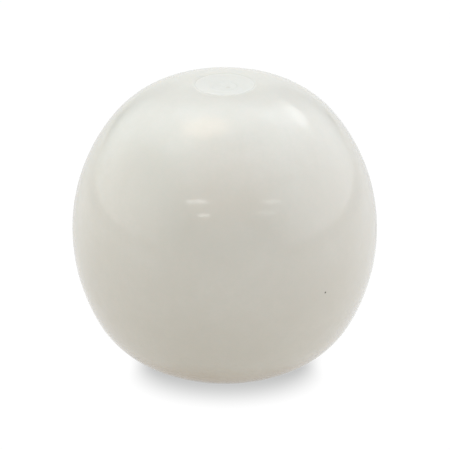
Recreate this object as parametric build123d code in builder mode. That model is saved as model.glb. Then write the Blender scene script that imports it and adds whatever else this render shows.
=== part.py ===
from build123d import *
from math import asin, degrees
import os

# A table ball cast in white resin round an iron core. It is fuller in the shoulder than a sphere,
# with a shallow dish in its crown and a flat seat underneath.
# Millimetres. The origin is the centre of the seat, and +Z goes up through the dish.

# Outside of the ball
belly_diameter = 57.15
belly_height = 26.0          # of the widest plane, above the seat
crown_rise = 29.0            # of the crown, above the widest plane
upper_side_extra = 5.0       # by which the side's upper arc is larger in radius than the crown's rise
lower_side_extra = 10.0      # by which its lower arc is larger in radius than the belly's height
shoulder_radius = 20.7       # from the side over to the crown
seat_edge_radius = 17.8      # from the side in to the seat

# Dish that the mould's nub leaves in the crown
dish_radius = 6.0
dish_depth = 0.55
dish_rim_radius = 0.15

# Core and the pin that centres it in the mould
core_diameter = 25.4
pin_diameter = 4.5
pin_socket_depth = 3.0
pin_socket_clearance = 0.03  # on the radius, so that the pin pushes into the core by hand
pin_tip_chamfer = 0.4
pin_end_setback = 0.1        # of the pin's outer end, below the floor of the dish

belly_radius = belly_diameter / 2
core_radius = core_diameter / 2
pin_radius = pin_diameter / 2
height = belly_height + crown_rise
socket_floor = belly_height + core_radius - pin_socket_depth

# Each side arc starts upright at the widest plane and ends where it crosses the crown's or the seat's level.
upper_side_radius = crown_rise + upper_side_extra
lower_side_radius = belly_height + lower_side_extra
upper_side_angle = degrees(asin(crown_rise / upper_side_radius))
lower_side_angle = degrees(asin(belly_height / lower_side_radius))

# The dish is part of a large sphere whose centre stands above the crown.
dish_sphere_radius = (dish_radius**2 + dish_depth**2) / (2 * dish_depth)
dish_sphere_centre = height - dish_depth + dish_sphere_radius

os.makedirs("parts", exist_ok=True)

# Cover: the resin that is poured round the core and the pin, so it fits both with no gap.
with BuildPart() as cover:
    with BuildSketch(Plane.XZ) as half_section:
        with BuildLine():
            upper_centre = (belly_radius - upper_side_radius, belly_height)
            lower_centre = (belly_radius - lower_side_radius, belly_height)
            upper_side = CenterArc(upper_centre, upper_side_radius, 0, upper_side_angle)
            lower_side = CenterArc(lower_centre, lower_side_radius, 0, -lower_side_angle)
            Polyline(upper_side @ 1, (0, height), (0, 0), lower_side @ 1)
        make_face()
        fillet(half_section.vertices().sort_by_distance(upper_side @ 1)[0], shoulder_radius)
        fillet(half_section.vertices().sort_by_distance(lower_side @ 1)[0], seat_edge_radius)
        with Locations((0, dish_sphere_centre)):
            Circle(dish_sphere_radius, mode=Mode.SUBTRACT)
        fillet(half_section.vertices().sort_by_distance((dish_radius, height))[0], dish_rim_radius)
        with Locations((0, belly_height)):
            Circle(core_radius, mode=Mode.SUBTRACT)
            Rectangle(pin_diameter, crown_rise, align=(Align.CENTER, Align.MIN), mode=Mode.SUBTRACT)
    revolve(axis=Axis.Z)
cover.part.label = "cover"
export_step(cover.part, "parts/cover.step")

# Core: an iron ball with a blind socket drilled in its top.
with BuildPart() as core:
    with Locations((0, 0, belly_height)):
        Sphere(core_radius)
    with Locations((0, 0, belly_height + core_radius)):
        Hole(pin_radius + pin_socket_clearance, pin_socket_depth)
core.part.label = "core"
export_step(core.part, "parts/core.step")

# Locating pin: stands on the floor of the core's socket. Its end has the curve of the dish, just below it.
with BuildPart() as locating_pin:
    with Locations((0, 0, socket_floor)):
        Cylinder(pin_radius, height - socket_floor, align=(Align.CENTER, Align.CENTER, Align.MIN))
    chamfer(locating_pin.edges().sort_by(Axis.Z)[0], pin_tip_chamfer)
    with Locations((0, 0, dish_sphere_centre - pin_end_setback)):
        Sphere(dish_sphere_radius, mode=Mode.SUBTRACT)
locating_pin.part.label = "locating_pin"
export_step(locating_pin.part, "parts/locating_pin.step")
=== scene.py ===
import math

import bmesh
import bpy
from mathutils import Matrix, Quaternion, Vector, noise


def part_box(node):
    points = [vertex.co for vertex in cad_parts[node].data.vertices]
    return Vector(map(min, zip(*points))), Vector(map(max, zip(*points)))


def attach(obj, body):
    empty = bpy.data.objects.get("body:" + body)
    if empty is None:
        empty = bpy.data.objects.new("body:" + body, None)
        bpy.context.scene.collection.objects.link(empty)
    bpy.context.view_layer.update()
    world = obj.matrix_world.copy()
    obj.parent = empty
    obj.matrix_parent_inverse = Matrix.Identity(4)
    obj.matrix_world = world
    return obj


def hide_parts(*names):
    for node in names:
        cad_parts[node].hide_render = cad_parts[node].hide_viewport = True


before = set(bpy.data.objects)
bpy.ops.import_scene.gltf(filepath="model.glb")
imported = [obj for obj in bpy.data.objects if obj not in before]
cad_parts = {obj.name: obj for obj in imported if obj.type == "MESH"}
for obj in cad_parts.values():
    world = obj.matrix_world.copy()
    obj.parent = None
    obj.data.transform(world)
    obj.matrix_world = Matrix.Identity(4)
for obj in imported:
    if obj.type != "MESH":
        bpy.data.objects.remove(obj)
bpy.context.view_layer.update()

MM = 0.001

# Places and sizes that the frame gives, in metres
cover_low, cover_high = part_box("cover")
core_low, core_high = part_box("core")
pin_low, pin_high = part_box("locating_pin")
belly_radius = (cover_high.x - cover_low.x) / 2
core_radius = (core_high.x - core_low.x) / 2
pin_radius = (pin_high.x - pin_low.x) / 2
belly_height = core_low.z + core_radius
pin_foot = pin_low.z

# The ball's own curves
crown_height = 55.0 * MM
upper_side_radius = 34.0 * MM
lower_side_radius = 36.0 * MM
shoulder_radius = 20.7 * MM
seat_edge_radius = 17.8 * MM
dish_radius = 6.0 * MM
dish_depth = 0.55 * MM
dish_rim_radius = 0.15 * MM
dish_sphere_radius = (dish_radius**2 + dish_depth**2) / (2 * dish_depth)
dish_sphere_centre = crown_height - dish_depth + dish_sphere_radius

# The pin, its bore and its socket
bore_mouth_radius = 4.0 * MM
pin_end_setback = 0.1 * MM
pin_end_edge = 0.02 * MM
pin_tip_chamfer = 0.4 * MM
pin_socket_clearance = 0.03 * MM
pin_pit = Vector((0.6 * MM, -0.25 * MM))
pin_pit_radius = 0.42 * MM
pin_pit_depth = 0.08 * MM

# Marks and textures of the surfaces
speck = Vector((18.1 * MM, -21.9 * MM, 23.2 * MM))
seat_groove_pitch = 0.42 * MM
seat_groove_depth = 0.012 * MM
polish_wave_depth = 0.022 * MM
core_lump_depth = 0.05 * MM
core_pit_depth = 0.2 * MM
# Where the painted shade above the seat starts and where it is full
seat_shade_top = 9.5 * MM
seat_shade_full = 4.0 * MM
resin_ior = 1.52

# The table that the gloss mirrors, with the shade under the ball painted into its glow, as distances from the
# middle of the seat
table_reach = 245 * MM
table_fade = 60 * MM
shelter_radius = 24.5 * MM
dark_radius = 4.5 * MM
touching_radius = 14.5 * MM
touching_dark_radius = 9.0 * MM

# The oval shade on the table. Its two fades and its half height are as long as they look from the camera,
# which sees lengths away from it shortened to floor_slant of themselves.
shade_middle = Vector((0.3 * MM, -6.0 * MM))
shade_half_width = 15.7 * MM
shade_half_height = 4.5 * MM
shade_fade_out = 3.1 * MM
shade_fade_in = 2.2 * MM
shade_share = 0.46
floor_slant = 0.41

# Fineness of the meshes
coincident = 1e-7
smooth_up_to = math.radians(50)


# ---------------------------------------------------------------- outlines to turn

def arc(centre, radius, start, end, step):
    """Points on an arc, its two ends included. Angles are in radians, and step is the length of one chord."""
    count = max(2, math.ceil(abs(end - start) * radius / step))
    turn = (end - start) / count
    return [(centre[0] + radius * math.cos(start + turn * i), centre[1] + radius * math.sin(start + turn * i))
            for i in range(count + 1)]


def straight(start, end, step):
    """Points on a straight run, its two ends included."""
    count = max(1, math.ceil(math.dist(start, end) / step))
    return [(start[0] + (end[0] - start[0]) * i / count, start[1] + (end[1] - start[1]) * i / count)
            for i in range(count + 1)]


def joined(*runs):
    """One outline from runs that meet end to end, without the doubled points."""
    points = []
    for run in runs:
        for point in run:
            if not points or math.dist(points[-1], point) > coincident:
                points.append(point)
    return points


def side_corner(side_radius, rise, corner_radius):
    """Radius at which a corner arc's centre stands, and the angle at which the side arc hands over to it."""
    reach = side_radius - corner_radius
    lift = rise - corner_radius
    angle = math.asin(lift / reach)
    return belly_radius - side_radius + reach * math.cos(angle), angle


def bearing(start, end):
    """Angle at which one point of the half section lies from another."""
    return math.atan2(end[1] - start[1], end[0] - start[0])


def meeting(first, first_radius, second, second_radius):
    """The outer of the two points where a circle about one point meets a circle about another."""
    gap = math.dist(first, second)
    along = (first_radius**2 - second_radius**2 + gap**2) / (2 * gap)
    across = math.sqrt(first_radius**2 - along**2)
    turn = bearing(first, second)
    return (first[0] + along * math.cos(turn) + across * math.sin(turn),
            first[1] + along * math.sin(turn) - across * math.cos(turn))


def dish_height(radius):
    """Height of the dish's floor at a distance from the axis."""
    return dish_sphere_centre - math.sqrt(dish_sphere_radius**2 - radius**2)


def seat_outline(seat_radius):
    """The faced seat, from the axis outwards, with the fine grooves that the facing tool leaves."""
    half_land = seat_groove_pitch * 0.3
    half_pitch = seat_groove_pitch * 0.5
    points = [(0.0, seat_groove_depth)]
    for turn in range(1, int(seat_radius / seat_groove_pitch)):
        middle = turn * seat_groove_pitch
        points += [(middle - half_land, 0.0), (middle + half_land, 0.0)]
        points.append((middle + half_pitch, seat_groove_depth))
    return points + [(seat_radius, 0.0)]


def cover_outline():
    """Half section of the cover: seat, side, shoulder, rim, dish, bore and the hollow round the core."""
    seat_radius, lower_turn = side_corner(lower_side_radius, belly_height, seat_edge_radius)
    shoulder_centre_radius, upper_turn = side_corner(
        upper_side_radius, crown_height - belly_height, shoulder_radius)
    shoulder_centre = (shoulder_centre_radius, crown_height - shoulder_radius)
    lower_centre = (belly_radius - lower_side_radius, belly_height)
    upper_centre = (belly_radius - upper_side_radius, belly_height)
    dish_centre = (0, dish_sphere_centre)

    # The rim's small arc touches the shoulder's arc from inside and the dish's sphere from outside.
    rim = meeting(shoulder_centre, shoulder_radius - dish_rim_radius,
                  dish_centre, dish_sphere_radius + dish_rim_radius)
    rim_start = bearing(shoulder_centre, rim)
    rim_end = bearing(rim, dish_centre)

    # The bore's mouth is rounded off from the dish down to the edge of the pin's end.
    bore_edge = (pin_radius, dish_height(pin_radius) - pin_end_setback)
    mouth = meeting(bore_edge, bore_mouth_radius, dish_centre, dish_sphere_radius + bore_mouth_radius)
    mouth_start = bearing(mouth, dish_centre)
    mouth_end = bearing(mouth, bore_edge)

    cavity_turn = math.asin(pin_radius / core_radius)
    bore_foot = (pin_radius, belly_height + core_radius * math.cos(cavity_turn))
    return joined(
        seat_outline(seat_radius),
        arc((seat_radius, seat_edge_radius), seat_edge_radius, -math.pi / 2, -lower_turn, 0.45 * MM),
        arc(lower_centre, lower_side_radius, -lower_turn, 0, 0.45 * MM),
        arc(upper_centre, upper_side_radius, 0, upper_turn, 0.45 * MM),
        arc(shoulder_centre, shoulder_radius, upper_turn, rim_start, 0.4 * MM),
        arc(rim, dish_rim_radius, rim_start, rim_end, 0.05 * MM),
        arc(dish_centre, dish_sphere_radius, rim_end - math.pi, mouth_start - math.pi, 0.2 * MM),
        arc(mouth, bore_mouth_radius, mouth_start, mouth_end, 0.05 * MM),
        straight(bore_edge, bore_foot, 1.0 * MM),
        arc((0, belly_height), core_radius, math.pi / 2 - cavity_turn, -math.pi / 2, 1.2 * MM),
    )


def pin_outline():
    """Half section of the locating pin, from the middle of its foot up to the middle of its end."""
    tip_radius = pin_radius - pin_tip_chamfer
    tip_height = pin_foot + pin_tip_chamfer
    end_radius = pin_radius - pin_end_edge
    end_height = dish_height(pin_radius) - pin_end_setback - pin_end_edge
    end_rings = 24
    end = [(radius, dish_height(radius) - pin_end_setback)
           for radius in (end_radius - i * end_radius / end_rings for i in range(end_rings + 1))]
    return joined(
        straight((0, pin_foot), (tip_radius, pin_foot), 0.5 * MM),
        straight((tip_radius, pin_foot), (pin_radius, tip_height), 0.2 * MM),
        straight((pin_radius, tip_height), (pin_radius, end_height), 0.8 * MM),
        arc((end_radius, end_height), pin_end_edge, 0, math.pi / 2, 0.02 * MM),
        end,
    )


def core_outline():
    """Half section of the core: the ball, and the blind socket in its top."""
    socket_radius = pin_radius + pin_socket_clearance
    mouth_turn = math.asin(socket_radius / core_radius)
    mouth_height = belly_height + core_radius * math.cos(mouth_turn)
    return joined(
        arc((0, belly_height), core_radius, -math.pi / 2, math.pi / 2 - mouth_turn, 0.5 * MM),
        straight((socket_radius, mouth_height), (socket_radius, pin_foot), 0.5 * MM),
        straight((socket_radius, pin_foot), (0, pin_foot), 0.5 * MM),
    )


# ---------------------------------------------------------------- turning the pieces

def turned(name, outline, segments):
    """A closed mesh made by turning a half section, whose two ends are on the axis, about that axis."""
    mesh = bmesh.new()
    rings = []
    for radius, height in outline:
        if radius < coincident:
            rings.append([mesh.verts.new((0, 0, height))])
            continue
        rings.append([mesh.verts.new((radius * math.cos(2 * math.pi * i / segments),
                                      radius * math.sin(2 * math.pi * i / segments), height))
                      for i in range(segments)])
    for lower, upper in zip(rings, rings[1:]):
        for i in range(segments):
            j = (i + 1) % segments
            corners = [lower[i % len(lower)], lower[j % len(lower)],
                       upper[j % len(upper)], upper[i % len(upper)]]
            mesh.faces.new(list(dict.fromkeys(corners)))
    bmesh.ops.recalc_face_normals(mesh, faces=mesh.faces)
    data = bpy.data.meshes.new(name)
    mesh.to_mesh(data)
    mesh.free()
    data.shade_smooth()
    data.set_sharp_from_angle(angle=smooth_up_to)
    piece = bpy.data.objects.new(name, data)
    bpy.context.collection.objects.link(piece)
    return piece


def sink(piece, depth_at):
    """Moves each point of a piece inwards along its normal by the depth that depth_at gives for it."""
    moves = [depth_at(vertex.co) for vertex in piece.data.vertices]
    normals = [vertex.normal.copy() for vertex in piece.data.vertices]
    for vertex, normal, depth in zip(piece.data.vertices, normals, moves):
        vertex.co -= normal * depth
    piece.data.update()


def cast_surface(point):
    """How far the polished casting lies below its true form: slow waves that only bend its reflections."""
    outside = point.xy.length > core_radius * 1.02 or point.z < belly_height - core_radius or (
        point.z > belly_height + core_radius and point.xy.length > dish_radius)
    if not outside or point.z < 0.2 * MM:
        return 0.0
    wave = 0.5 + 0.5 * noise.noise(point * 55) + 0.25 * noise.noise(point * 140 + Vector((7, 3, 1)))
    return max(0.0, wave) * polish_wave_depth


def pin_end_surface(point):
    """The small air pit that the resin left in the pin's end."""
    if point.z < pin_high.z - 1.0 * MM:
        return 0.0
    away = (point.xy - pin_pit).length / pin_pit_radius
    return pin_pit_depth * max(0.0, 1 - away**2)


def core_surface(point):
    """The skin of an iron casting that was only rumbled smooth. It stays inside the hollow in the resin."""
    if point.xy.length < pin_radius + 0.1 * MM and point.z > belly_height:
        return 0.0
    lumps = 0.5 + 0.5 * noise.noise(point * 420)
    pits = max(0.0, noise.noise(point * 900 + Vector((11, 5, 2))) - 0.25)
    return lumps * core_lump_depth + pits * core_pit_depth


# ---------------------------------------------------------------- shader wiring

COLOUR_A = 6
COLOUR_B = 7
COLOUR_RESULT = 2


class Wire:
    """An output socket. Sums, products and so on of wires and numbers add the Math nodes that they need."""

    def __init__(self, wiring, socket):
        self.wiring = wiring
        self.socket = socket

    def output(self, name):
        return Wire(self.wiring, self.socket.node.outputs[name])

    def maths(self, operation, first, second):
        return self.wiring.add("Math", {"operation": operation}, {0: first, 1: second})

    def __add__(self, other):
        return self.maths("ADD", self, other)

    def __radd__(self, other):
        return self.maths("ADD", other, self)

    def __sub__(self, other):
        return self.maths("SUBTRACT", self, other)

    def __rsub__(self, other):
        return self.maths("SUBTRACT", other, self)

    def __mul__(self, other):
        return self.maths("MULTIPLY", self, other)

    def __rmul__(self, other):
        return self.maths("MULTIPLY", other, self)

    def __truediv__(self, other):
        return self.maths("DIVIDE", self, other)

    def __rtruediv__(self, other):
        return self.maths("DIVIDE", other, self)


class Wiring:
    """A node tree, and the one way in which nodes are added to it."""

    def __init__(self, tree):
        self.tree = tree

    def add(self, kind, settings=None, sockets=None, output=0):
        node = self.tree.nodes.new("ShaderNode" + kind)
        for name, value in (settings or {}).items():
            setattr(node, name, value)
        for name, value in (sockets or {}).items():
            self.feed(node.inputs[name], value)
        return Wire(self, node.outputs[output])

    def feed(self, socket, value):
        if isinstance(value, Wire):
            self.tree.links.new(value.socket, socket)
        else:
            socket.default_value = value

    def place(self):
        """Where a point is in the ball's frame, as a vector in metres."""
        return self.add("TexCoord", output="Object")

    def fade(self, value, start, end):
        """0 where value is at start, 1 where it is at end, and smooth between."""
        return self.add("MapRange", {"interpolation_type": "SMOOTHSTEP"},
                        {"Value": value, "From Min": start, "From Max": end})

    def blend(self, share, first, second):
        """Second colour laid over the first by share."""
        return self.add("Mix", {"data_type": "RGBA"}, {0: share, COLOUR_A: first, COLOUR_B: second},
                        output=COLOUR_RESULT)

    def grain(self, place, scale, detail=2.0, roughness=0.5, stretch=(1, 1, 1)):
        """Soft noise about 0.5, with scale waves to the metre, stretched by a share for each axis."""
        stretched = self.add("VectorMath", {"operation": "MULTIPLY"}, {0: place, 1: stretch})
        return self.add("TexNoise", {"noise_dimensions": "3D"},
                        {"Vector": stretched, "Scale": scale, "Detail": detail, "Roughness": roughness})

    def root(self, value):
        return self.add("Math", {"operation": "SQRT"}, {0: value})

    def distance(self, place, point):
        return self.add("VectorMath", {"operation": "DISTANCE"}, {0: place, 1: point}, output="Value")

    def facing(self, direction, toward):
        """How squarely a direction points at another: 1 where it does, and 0 where it is square to it."""
        return self.add("VectorMath", {"operation": "DOT_PRODUCT"}, {0: direction, 1: toward}, output="Value")

    def glow(self, share, light, more):
        """Light with a share of more light added to it."""
        return self.add("Mix", {"data_type": "RGBA", "blend_type": "ADD"},
                        {0: share, COLOUR_A: light, COLOUR_B: more}, output=COLOUR_RESULT)

    def relief(self, height, depth, strength=1.0):
        """A normal that shows height, from 0 to 1, as a relief of that depth in metres."""
        return self.add("Bump", None, {"Strength": strength, "Distance": depth, "Height": height})


def finish_named(name):
    """A new material, its wiring and its shader."""
    material = bpy.data.materials.new(name)
    material.use_nodes = True
    return material, Wiring(material.node_tree), material.node_tree.nodes["Principled BSDF"]


def colour(red, green, blue):
    return (red, green, blue, 1.0)


# ---------------------------------------------------------------- finishes

def polished_white_resin():
    """Cast white resin, buffed to a gloss, with a satin dish and a faced seat."""
    material, wiring, shader = finish_named("polished_white_resin")
    place = wiring.place()
    x = wiring.add("SeparateXYZ", None, {"Vector": place}, output="X")
    y, z = x.output("Y"), x.output("Z")
    from_axis = wiring.root(x * x + y * y)

    in_dish = wiring.fade(from_axis, dish_radius, dish_radius - 1.0 * MM) * wiring.fade(
        z, crown_height - 2 * MM, crown_height - 1.5 * MM)
    in_seat = wiring.fade(z, 0.12 * MM, 0.02 * MM)
    unpolished = wiring.add("Math", {"operation": "MAXIMUM"}, {0: in_dish, 1: in_seat})

    clouds = wiring.fade(wiring.grain(place, 70, 3.0, 0.55), 0.3, 0.7)
    mottle = wiring.fade(wiring.grain(place, 420, 2.0, 0.6), 0.35, 0.7)
    resin = wiring.blend(clouds, colour(0.588, 0.570, 0.523), colour(0.613, 0.597, 0.553))
    resin = wiring.blend(mottle * 0.35, resin, colour(0.570, 0.552, 0.505))
    flecks = wiring.fade(wiring.grain(place, 1700, 3.0, 0.7, (1, 1, 1.6)), 0.35, 0.65)
    resin = wiring.blend(flecks * 0.3, resin, colour(0.630, 0.575, 0.530))
    haze = wiring.fade(wiring.grain(place, 1350, 3.0, 0.7, (1, 1, 1.6)), 0.35, 0.65)
    resin = wiring.blend(haze * 0.3, resin, colour(0.560, 0.570, 0.520))
    resin = wiring.blend(in_dish * 0.5, resin, colour(0.610, 0.605, 0.572))
    # Painted shade and warm reflected light: a darker, warmer band just above the seat, with an uneven upper
    # edge.
    uneven = (clouds - 0.5) * 2 * MM
    painted_seat_shade = wiring.fade(z + uneven, seat_shade_top, seat_shade_full) * wiring.fade(z, 0.2 * MM, 3.0 * MM)
    resin = wiring.blend(painted_seat_shade * 0.8, resin, colour(0.480, 0.415, 0.325))
    to_speck = wiring.distance(place, speck)
    dark = wiring.fade(to_speck, 0.24 * MM, 0.10 * MM)
    resin = wiring.blend(dark, resin, colour(0.05, 0.04, 0.03))
    wiring.feed(shader.inputs["Base Color"], resin)

    smears = wiring.fade(wiring.grain(place, 160, 4.0, 0.6, (1, 1, 0.35)), 0.45, 0.75)
    hairlines = wiring.fade(wiring.grain(place, 2600, 1.0, 0.4, (0.08, 0.3, 1.0)), 0.62, 0.72)
    wiring.feed(shader.inputs["Roughness"],
                0.09 + smears * 0.05 + hairlines * 0.03 + in_dish * 0.25 + in_seat * 0.3)
    fine = wiring.grain(place, 3200, 2.0, 0.5)
    skin = fine * (0.08 + unpolished * 0.9) + (1 - dark) * 2.0 - hairlines * 0.05
    wiring.feed(shader.inputs["Normal"], wiring.relief(skin, 0.012 * MM, 0.6))
    shader.inputs["IOR"].default_value = resin_ior
    shader.inputs["Subsurface Weight"].default_value = 0.25
    shader.inputs["Subsurface Radius"].default_value = (1.0, 0.85, 0.65)
    shader.inputs["Subsurface Scale"].default_value = 1.6 * MM
    return material


def satin_pin_resin():
    """The same resin as it comes from the dowel mould, with the darker pit in its end."""
    material, wiring, shader = finish_named("satin_pin_resin")
    place = wiring.place()
    clouds = wiring.fade(wiring.grain(place, 500, 3.0, 0.6), 0.35, 0.7)
    resin = wiring.blend(clouds, colour(0.580, 0.570, 0.530), colour(0.605, 0.597, 0.560))
    pit = wiring.distance(place, (pin_pit.x, pin_pit.y, pin_high.z))
    in_pit = wiring.fade(pit, 0.55 * MM, 0.25 * MM)
    resin = wiring.blend(in_pit * 0.35, resin, colour(0.43, 0.37, 0.31))
    wiring.feed(shader.inputs["Base Color"], resin)
    scuffs = wiring.fade(wiring.grain(place, 1800, 3.0, 0.6), 0.4, 0.7)
    wiring.feed(shader.inputs["Roughness"], 0.38 + scuffs * 0.12)
    wiring.feed(shader.inputs["Normal"], wiring.relief(wiring.grain(place, 2600, 3.0), 0.012 * MM, 0.6))
    shader.inputs["IOR"].default_value = resin_ior
    return material


def rumbled_iron():
    """Cast iron with its dark skin, worn brighter on the high spots, and a little rust."""
    material, wiring, shader = finish_named("rumbled_iron")
    place = wiring.place()
    skin = wiring.fade(wiring.grain(place, 420, 4.0, 0.6), 0.35, 0.65)
    rust = wiring.fade(wiring.grain(place, 180, 5.0, 0.65), 0.55, 0.72)
    iron = wiring.blend(skin, colour(0.09, 0.088, 0.085), colour(0.24, 0.235, 0.23))
    wiring.feed(shader.inputs["Base Color"], wiring.blend(rust * 0.7, iron, colour(0.19, 0.075, 0.03)))
    wiring.feed(shader.inputs["Metallic"], 0.9 - rust * 0.7)
    wiring.feed(shader.inputs["Roughness"], 0.62 - skin * 0.16 + rust * 0.25)
    sand = wiring.grain(place, 2400, 4.0, 0.6)
    wiring.feed(shader.inputs["Normal"], wiring.relief(sand, 0.04 * MM, 0.8))
    return material


def glowing(name, light):
    """A dull dark surface that gives off the light that the function light makes from its wiring."""
    material, wiring, shader = finish_named(name)
    wiring.feed(shader.inputs["Emission Color"], light(wiring, wiring.place()))
    shader.inputs["Emission Strength"].default_value = 1.0
    shader.inputs["Base Color"].default_value = colour(0.01, 0.01, 0.01)
    shader.inputs["Roughness"].default_value = 0.8
    shader.inputs["Specular IOR Level"].default_value = 0.0
    return material


def floor_light(wiring, place):
    """White, with the ball's soft shade painted on it: an oval whose edge looks as soft all the way round."""
    x = wiring.add("SeparateXYZ", None, {"Vector": place}, output="X")
    across = (x - shade_middle.x) / shade_half_width
    along = (x.output("Y") - shade_middle.y) * floor_slant / shade_half_height
    round_oval = wiring.root(across * across + along * along)
    across_slope, along_slope = across / shade_half_width, along / shade_half_height
    slope = wiring.root(across_slope * across_slope + along_slope * along_slope)
    outside = (round_oval * round_oval - round_oval) / slope
    shaded = wiring.fade(outside, shade_fade_out, -shade_fade_in)
    return wiring.blend(shaded * shade_share, colour(1.01, 1.01, 1.01), colour(0.0, 0.008, 0.004))


def mirrored_light(wiring, place):
    """What the gloss mirrors of the table: painted shade, dark close under the ball, and greyer far off at
    the front.
    """
    from_ball = wiring.distance(place, (0, 0, 0))
    y = wiring.add("SeparateXYZ", None, {"Vector": place}, output="Y")
    behind = wiring.fade(y / from_ball, 0.5, 0.9)
    near = wiring.blend(behind, colour(1.00, 1.00, 1.00), colour(0.84, 0.84, 0.84))
    far = wiring.blend(behind, colour(0.72, 0.71, 0.70), colour(0.81, 0.81, 0.80))
    # Painted shade under the ball, darkest where it touches the table.
    painted_shade_under_ball = wiring.fade(from_ball, shelter_radius, dark_radius)
    near = wiring.blend(painted_shade_under_ball, near, colour(0.23, 0.235, 0.24))
    painted_contact_shade = wiring.fade(from_ball, touching_radius, touching_dark_radius)
    near = wiring.blend(painted_contact_shade, near, colour(0.03, 0.02, 0.01))
    away = wiring.fade(from_ball, table_reach, table_reach + table_fade)
    return wiring.blend(away, near, far)


# ---------------------------------------------------------------- the pieces

cover = turned("ball_cover", cover_outline(), 320)
sink(cover, cast_surface)
cover.data.materials.append(polished_white_resin())
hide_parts("cover")

pin = turned("pin", pin_outline(), 96)
sink(pin, pin_end_surface)
pin.data.materials.append(satin_pin_resin())
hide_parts("locating_pin")

core = turned("iron_core", core_outline(), 160)
sink(core, core_surface)
core.data.materials.append(rumbled_iron())
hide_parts("core")

for piece in (cover, pin, core):
    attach(piece, "root")


# ---------------------------------------------------------------- floor, light and camera

def flat_floor(name, material):
    """A thin round table top under the seat. It throws no light on the ball: the room's light does."""
    floor_radius = 3.0
    mesh = bmesh.new()
    bmesh.ops.create_circle(mesh, cap_ends=True, segments=128, radius=floor_radius)
    data = bpy.data.meshes.new(name)
    mesh.to_mesh(data)
    mesh.free()
    floor = bpy.data.objects.new(name, data)
    bpy.context.collection.objects.link(floor)
    floor.data.materials.append(material)
    floor.visible_diffuse = False
    return floor


def toward(azimuth, elevation):
    """Unit vector from the ball. Azimuth 0 is towards the camera, and 90 is to its right."""
    a, e = math.radians(azimuth), math.radians(elevation)
    return Vector((math.sin(a) * math.cos(e), -math.cos(a) * math.cos(e), math.sin(e)))


def lamp(name, azimuth, elevation, distance, size, radiance, tilt=0.0):
    """A lamp of that width and height, turned by tilt in its own plane. It faces the ball, unseen itself."""
    data = bpy.data.lights.new(name, "AREA")
    data.shape = "ELLIPSE"
    data.size, data.size_y = size
    data.energy = radiance * math.pi * (math.pi / 4 * size[0] * size[1])
    light = bpy.data.objects.new(name, data)
    light.location = Vector((0, 0, belly_height)) + toward(azimuth, elevation) * distance
    light.rotation_mode = "QUATERNION"
    facing = toward(azimuth, elevation).to_track_quat("Z", "Y")
    light.rotation_quaternion = facing @ Quaternion((0, 0, 1), math.radians(tilt))
    light.visible_camera = False
    bpy.context.collection.objects.link(light)


# The room's soft patches: azimuth, elevation, the angles from its middle at which it has faded out and at
# which it is full, and the light that it adds
soft_patches = (
    # a cool panel overhead, and a broad one on each side
    (0, 90, 60, 20, (0.75, 0.90, 1.00)),
    (-95, 20, 70, 15, (1.10, 1.25, 1.25)),
    (95, 15, 70, 15, (1.30, 1.40, 1.45)),
    # a warm one over the front, and three behind that the crown and the dish mirror
    (0, 50, 45, 10, (0.70, 0.50, 0.40)),
    (180, 70, 30, 10, (0.80, 0.80, 0.80)),
    (180, 0, 30, 5, (0.80, 0.80, 0.80)),
    (180, 30, 18, 5, (0.30, 0.30, 0.30)),
    # the shoulders' panels, the warm lamp with the paler one beside it, and the window's glow
    (-140, 35, 35, 10, (0.45, 0.45, 0.50)),
    (140, 35, 35, 10, (0.25, 0.25, 0.30)),
    (-135, 75, 18, 5, (1.80, 1.25, 0.75)),
    (-85, 65, 18, 5, (0.65, 0.60, 0.60)),
    (140, 45, 16, 5, (0.70, 0.75, 0.80)),
    # light that comes back up from the table
    (0, -30, 60, 10, (0.80, 0.90, 0.95)),
    (-90, -20, 60, 10, (0.30, 0.15, 0.15)),
    (90, -20, 60, 10, (0.25, 0.15, 0.15)),
)


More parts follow.
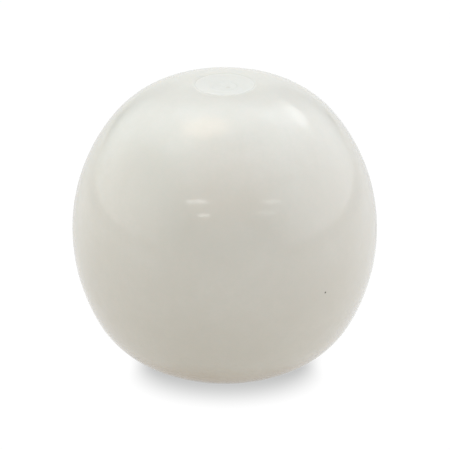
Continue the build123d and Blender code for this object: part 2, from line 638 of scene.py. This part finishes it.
def room():
    """The light of a plain room: a dim shell, and soft bright patches that fade into it."""
    world = bpy.data.worlds.new("room")
    world.use_nodes = True
    wiring = Wiring(world.node_tree)
    direction = wiring.add("TexCoord", output="Generated")
    upward = wiring.add("SeparateXYZ", None, {"Vector": direction}, output="Z")
    light = wiring.blend(wiring.fade(upward, -0.04, 0.04), colour(0.24, 0.18, 0.07), colour(0.0, 0.0, 0.0))
    for azimuth, elevation, faded_at, full_at, glow in soft_patches:
        facing = wiring.facing(direction, toward(azimuth, elevation))
        share = wiring.fade(facing, math.cos(math.radians(faded_at)), math.cos(math.radians(full_at)))
        light = wiring.glow(share, light, colour(*glow))
    wiring.feed(world.node_tree.nodes["Background"].inputs["Color"], light)
    bpy.context.scene.world = world


def camera():
    """A long lens that looks down on the ball, a little above its widest plane."""
    sensor = 36 * MM
    distance = 450.9 * MM
    view_width = 84.54 * MM
    raised_by = 0.58 * MM
    shifted_by = 0.06 * MM
    data = bpy.data.cameras.new("camera")
    data.sensor_width = sensor / MM
    data.lens = sensor / MM * distance / view_width
    data.clip_start = 0.01
    eye = bpy.data.objects.new("camera", data)
    back = toward(0, 24.3)
    right = Vector((1, 0, 0))
    up = back.cross(right)
    target = Vector((0, 0, belly_height)) + up * raised_by + right * shifted_by
    eye.location = target + back * distance
    eye.rotation_mode = "QUATERNION"
    eye.rotation_quaternion = back.to_track_quat("Z", "Y")
    bpy.context.collection.objects.link(eye)
    bpy.context.scene.camera = eye


# One table top is looked at, and another in the same place is only mirrored in the ball.
flat_floor("floor", glowing("pale_floor", floor_light)).visible_glossy = False
flat_floor("mirrored_floor", glowing("mirrored_floor", mirrored_light)).visible_camera = False
room()
lamp("long_tube", 138, 37.0, 0.7, (0.46, 0.10), 0.65)
lamp("window", 138, 39.0, 0.7, (0.24, 0.17), 0.65)
lamp("front_tube_left", -24.0, 31.4, 0.8, (0.27, 0.030), 3.4, 10)
lamp("front_tube_right", 41.0, 28.2, 0.8, (0.23, 0.030), 2.4, -15)
lamp("low_tube_left", -16.5, 24.0, 0.8, (0.14, 0.026), 4.0, 6)
lamp("low_tube_right", 33.5, 23.0, 0.8, (0.22, 0.026), 2.2, -12)
camera()
bpy.context.scene.view_settings.view_transform = "Standard"
